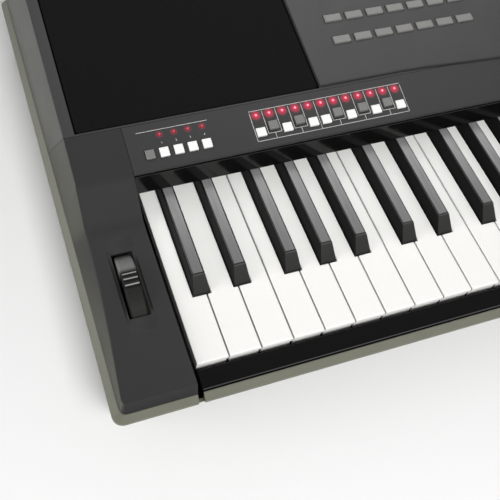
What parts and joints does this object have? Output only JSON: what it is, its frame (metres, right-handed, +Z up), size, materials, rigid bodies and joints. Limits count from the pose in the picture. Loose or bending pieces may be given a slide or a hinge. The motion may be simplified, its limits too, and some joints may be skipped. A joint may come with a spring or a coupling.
{
  "type": "portable keyboard",
  "caption": "Portable electronic keyboard with a pitch wheel, scale-setting buttons, display panel and built-in speakers",
  "frame": {"origin": "centre of the footprint, on the table", "axes": "+X runs along the keys towards the treble, +Y from the player to the back, +Z up"},
  "size_m": [0.969, 0.425, 0.1475],
  "materials": {
    "case": "satin",
    "deck": "satin",
    "gloss_black": "gloss",
    "grille": "matte",
    "natural": "gloss",
    "sharp": "satin",
    "wheel": "satin",
    "white_button": "satin",
    "grey_button": "satin",
    "display": "gloss",
    "steel": "satin",
    "board": "satin",
    "felt": "matte",
    "foot_rubber": "matte",
    "cone": "matte"
  },
  "bodies": {
    "case": {"lower_case": "case", "foot_front_left": "foot_rubber", "foot_front_right": "foot_rubber", "foot_rear_left": "foot_rubber", "foot_rear_right": "foot_rubber", "left_end_block": "deck", "right_end_block": "deck", "rear_housing": "deck", "front_rail": "gloss_black", "fallboard": "gloss_black", "control_strip": "deck", "panel_board": "board", "centre_panel": "deck", "display_window": "display", "wheel_bracket": "steel", "left_grille": "grille", "right_grille": "grille", "left_speaker": "cone", "right_speaker": "cone", "key_frame": "steel", "key_stop_felt": "felt", "contact_board": "board", "main_board": "board", "jack_panel": "gloss_black"},
    "key_1_c": {"key_1_c": "natural"},
    "key_1_d": {"key_1_d": "natural"},
    "key_1_e": {"key_1_e": "natural"},
    "key_1_f": {"key_1_f": "natural"},
    "key_1_g": {"key_1_g": "natural"},
    "key_1_a": {"key_1_a": "natural"},
    "key_1_b": {"key_1_b": "natural"},
    "key_1_c_sharp": {"key_1_c_sharp": "sharp"},
    "key_1_d_sharp": {"key_1_d_sharp": "sharp"},
    "key_1_f_sharp": {"key_1_f_sharp": "sharp"},
    "key_1_g_sharp": {"key_1_g_sharp": "sharp"},
    "key_1_a_sharp": {"key_1_a_sharp": "sharp"},
    "naturals_comb_2": {"naturals_comb_2": "natural"},
    "sharps_comb_2": {"sharps_comb_2": "sharp"},
    "naturals_comb_3": {"naturals_comb_3": "natural"},
    "sharps_comb_3": {"sharps_comb_3": "sharp"},
    "naturals_comb_4": {"naturals_comb_4": "natural"},
    "sharps_comb_4": {"sharps_comb_4": "sharp"},
    "naturals_comb_5": {"naturals_comb_5": "natural"},
    "sharps_comb_5": {"sharps_comb_5": "sharp"},
    "memory_button": {"memory_button": "grey_button"},
    "preset_button_1": {"preset_button_1": "white_button"},
    "preset_button_2": {"preset_button_2": "white_button"},
    "preset_button_3": {"preset_button_3": "white_button"},
    "preset_button_4": {"preset_button_4": "white_button"},
    "scale_naturals": {"scale_naturals": "white_button"},
    "scale_sharps": {"scale_sharps": "grey_button"},
    "transport_buttons": {"transport_buttons": "grey_button"},
    "style_buttons": {"style_buttons": "grey_button"},
    "voice_buttons": {"voice_buttons": "grey_button"},
    "left_display_buttons": {"left_display_buttons": "grey_button"},
    "right_display_buttons": {"right_display_buttons": "grey_button"},
    "power_button": {"power_button": "white_button"},
    "pitch_wheel": {"pitch_wheel": "wheel"},
    "data_dial": {"data_dial": "wheel"},
    "volume_knob": {"volume_knob": "wheel"}
  },
  "joints": [
    {"name": "key_1_c_hinge", "type": "hinge", "parent": "case", "child": "key_1_c", "pos_m": [-0.41125, 0.0075, 0.058], "axis": [1, 0, 0], "range_deg": [0, 2.9], "stiffness_Nm_per_rad": 1, "springref_deg": -8.59},
    {"name": "key_1_d_hinge", "type": "hinge", "parent": "case", "child": "key_1_d", "pos_m": [-0.38775, 0.0075, 0.058], "axis": [1, 0, 0], "range_deg": [0, 2.9], "stiffness_Nm_per_rad": 1, "springref_deg": -8.59},
    {"name": "key_1_e_hinge", "type": "hinge", "parent": "case", "child": "key_1_e", "pos_m": [-0.36425, 0.0075, 0.058], "axis": [1, 0, 0], "range_deg": [0, 2.9], "stiffness_Nm_per_rad": 1, "springref_deg": -8.59},
    {"name": "key_1_f_hinge", "type": "hinge", "parent": "case", "child": "key_1_f", "pos_m": [-0.34075, 0.0075, 0.058], "axis": [1, 0, 0], "range_deg": [0, 2.9], "stiffness_Nm_per_rad": 1, "springref_deg": -8.59},
    {"name": "key_1_g_hinge", "type": "hinge", "parent": "case", "child": "key_1_g", "pos_m": [-0.31725, 0.0075, 0.058], "axis": [1, 0, 0], "range_deg": [0, 2.9], "stiffness_Nm_per_rad": 1, "springref_deg": -8.59},
    {"name": "key_1_a_hinge", "type": "hinge", "parent": "case", "child": "key_1_a", "pos_m": [-0.29375, 0.0075, 0.058], "axis": [1, 0, 0], "range_deg": [0, 2.9], "stiffness_Nm_per_rad": 1, "springref_deg": -8.59},
    {"name": "key_1_b_hinge", "type": "hinge", "parent": "case", "child": "key_1_b", "pos_m": [-0.27025, 0.0075, 0.058], "axis": [1, 0, 0], "range_deg": [0, 2.9], "stiffness_Nm_per_rad": 1, "springref_deg": -8.59},
    {"name": "key_1_c_sharp_hinge", "type": "hinge", "parent": "case", "child": "key_1_c_sharp", "pos_m": [-0.4032, 0.0205, 0.065], "axis": [1, 0, 0], "range_deg": [0, 3], "stiffness_Nm_per_rad": 1, "springref_deg": -8.59},
    {"name": "key_1_d_sharp_hinge", "type": "hinge", "parent": "case", "child": "key_1_d_sharp", "pos_m": [-0.3728, 0.0205, 0.065], "axis": [1, 0, 0], "range_deg": [0, 3], "stiffness_Nm_per_rad": 1, "springref_deg": -8.59},
    {"name": "key_1_f_sharp_hinge", "type": "hinge", "parent": "case", "child": "key_1_f_sharp", "pos_m": [-0.3337, 0.0205, 0.065], "axis": [1, 0, 0], "range_deg": [0, 3], "stiffness_Nm_per_rad": 1, "springref_deg": -8.59},
    {"name": "key_1_g_sharp_hinge", "type": "hinge", "parent": "case", "child": "key_1_g_sharp", "pos_m": [-0.30575, 0.0205, 0.065], "axis": [1, 0, 0], "range_deg": [0, 3], "stiffness_Nm_per_rad": 1, "springref_deg": -8.59},
    {"name": "key_1_a_sharp_hinge", "type": "hinge", "parent": "case", "child": "key_1_a_sharp", "pos_m": [-0.2778, 0.0205, 0.065], "axis": [1, 0, 0], "range_deg": [0, 3], "stiffness_Nm_per_rad": 1, "springref_deg": -8.59},
    {"name": "naturals_comb_2_hinge", "type": "hinge", "parent": "case", "child": "naturals_comb_2", "pos_m": [-0.17625, 0.0075, 0.058], "axis": [1, 0, 0], "range_deg": [0, 2.9], "stiffness_Nm_per_rad": 7, "springref_deg": -8.59},
    {"name": "sharps_comb_2_hinge", "type": "hinge", "parent": "case", "child": "sharps_comb_2", "pos_m": [-0.17625, 0.0205, 0.065], "axis": [1, 0, 0], "range_deg": [0, 3], "stiffness_Nm_per_rad": 5, "springref_deg": -8.59},
    {"name": "naturals_comb_3_hinge", "type": "hinge", "parent": "case", "child": "naturals_comb_3", "pos_m": [-0.01175, 0.0075, 0.058], "axis": [1, 0, 0], "range_deg": [0, 2.9], "stiffness_Nm_per_rad": 7, "springref_deg": -8.59},
    {"name": "sharps_comb_3_hinge", "type": "hinge", "parent": "case", "child": "sharps_comb_3", "pos_m": [-0.01175, 0.0205, 0.065], "axis": [1, 0, 0], "range_deg": [0, 3], "stiffness_Nm_per_rad": 5, "springref_deg": -8.59},
    {"name": "naturals_comb_4_hinge", "type": "hinge", "parent": "case", "child": "naturals_comb_4", "pos_m": [0.15275, 0.0075, 0.058], "axis": [1, 0, 0], "range_deg": [0, 2.9], "stiffness_Nm_per_rad": 7, "springref_deg": -8.59},
    {"name": "sharps_comb_4_hinge", "type": "hinge", "parent": "case", "child": "sharps_comb_4", "pos_m": [0.15275, 0.0205, 0.065], "axis": [1, 0, 0], "range_deg": [0, 3], "stiffness_Nm_per_rad": 5, "springref_deg": -8.59},
    {"name": "naturals_comb_5_hinge", "type": "hinge", "parent": "case", "child": "naturals_comb_5", "pos_m": [0.31725, 0.0075, 0.058], "axis": [1, 0, 0], "range_deg": [0, 2.9], "stiffness_Nm_per_rad": 7, "springref_deg": -8.59},
    {"name": "sharps_comb_5_hinge", "type": "hinge", "parent": "case", "child": "sharps_comb_5", "pos_m": [0.31725, 0.0205, 0.065], "axis": [1, 0, 0], "range_deg": [0, 3], "stiffness_Nm_per_rad": 5, "springref_deg": -8.59},
    {"name": "memory_button_press", "type": "slide", "parent": "case", "child": "memory_button", "axis": [0, 0.2588, -0.9659], "range_m": [0, 0.001], "stiffness_N_per_m": 400, "springref_m": -0.002},
    {"name": "preset_button_1_press", "type": "slide", "parent": "case", "child": "preset_button_1", "axis": [0, 0.2588, -0.9659], "range_m": [0, 0.001], "stiffness_N_per_m": 400, "springref_m": -0.002},
    {"name": "preset_button_2_press", "type": "slide", "parent": "case", "child": "preset_button_2", "axis": [0, 0.2588, -0.9659], "range_m": [0, 0.001], "stiffness_N_per_m": 400, "springref_m": -0.002},
    {"name": "preset_button_3_press", "type": "slide", "parent": "case", "child": "preset_button_3", "axis": [0, 0.2588, -0.9659], "range_m": [0, 0.001], "stiffness_N_per_m": 400, "springref_m": -0.002},
    {"name": "preset_button_4_press", "type": "slide", "parent": "case", "child": "preset_button_4", "axis": [0, 0.2588, -0.9659], "range_m": [0, 0.001], "stiffness_N_per_m": 400, "springref_m": -0.002},
    {"name": "scale_naturals_press", "type": "slide", "parent": "case", "child": "scale_naturals", "axis": [0, 0.2588, -0.9659], "range_m": [0, 0.001], "stiffness_N_per_m": 400, "springref_m": -0.002},
    {"name": "scale_sharps_press", "type": "slide", "parent": "case", "child": "scale_sharps", "axis": [0, 0.2588, -0.9659], "range_m": [0, 0.001], "stiffness_N_per_m": 400, "springref_m": -0.002},
    {"name": "transport_buttons_press", "type": "slide", "parent": "case", "child": "transport_buttons", "axis": [0, 0.2588, -0.9659], "range_m": [0, 0.001], "stiffness_N_per_m": 400, "springref_m": -0.002},
    {"name": "style_buttons_press", "type": "slide", "parent": "case", "child": "style_buttons", "axis": [0, 0.1736, -0.9848], "range_m": [0, 0.001], "stiffness_N_per_m": 400, "springref_m": -0.002},
    {"name": "voice_buttons_press", "type": "slide", "parent": "case", "child": "voice_buttons", "axis": [0, 0.1736, -0.9848], "range_m": [0, 0.001], "stiffness_N_per_m": 400, "springref_m": -0.002},
    {"name": "left_display_buttons_press", "type": "slide", "parent": "case", "child": "left_display_buttons", "axis": [0, 0.1736, -0.9848], "range_m": [0, 0.001], "stiffness_N_per_m": 400, "springref_m": -0.002},
    {"name": "right_display_buttons_press", "type": "slide", "parent": "case", "child": "right_display_buttons", "axis": [0, 0.1736, -0.9848], "range_m": [0, 0.001], "stiffness_N_per_m": 400, "springref_m": -0.002},
    {"name": "power_button_press", "type": "slide", "parent": "case", "child": "power_button", "axis": [0, 0.1736, -0.9848], "range_m": [0, 0.001], "stiffness_N_per_m": 400, "springref_m": -0.002},
    {"name": "pitch_wheel_turn", "type": "hinge", "parent": "case", "child": "pitch_wheel", "pos_m": [-0.4494, -0.1205, 0.05], "axis": [1, 0, 0], "range_deg": [-30, 30], "stiffness_Nm_per_rad": 0.05},
    {"name": "data_dial_turn", "type": "hinge", "parent": "case", "child": "data_dial", "pos_m": [0.15, 0.11786, 0.13436], "axis": [0, -0.1736, 0.9848], "continuous": true},
    {"name": "volume_knob_turn", "type": "hinge", "parent": "case", "child": "volume_knob", "pos_m": [-0.228, 0.11786, 0.13436], "axis": [0, -0.1736, 0.9848], "range_deg": [-150, 150]}
  ]
}
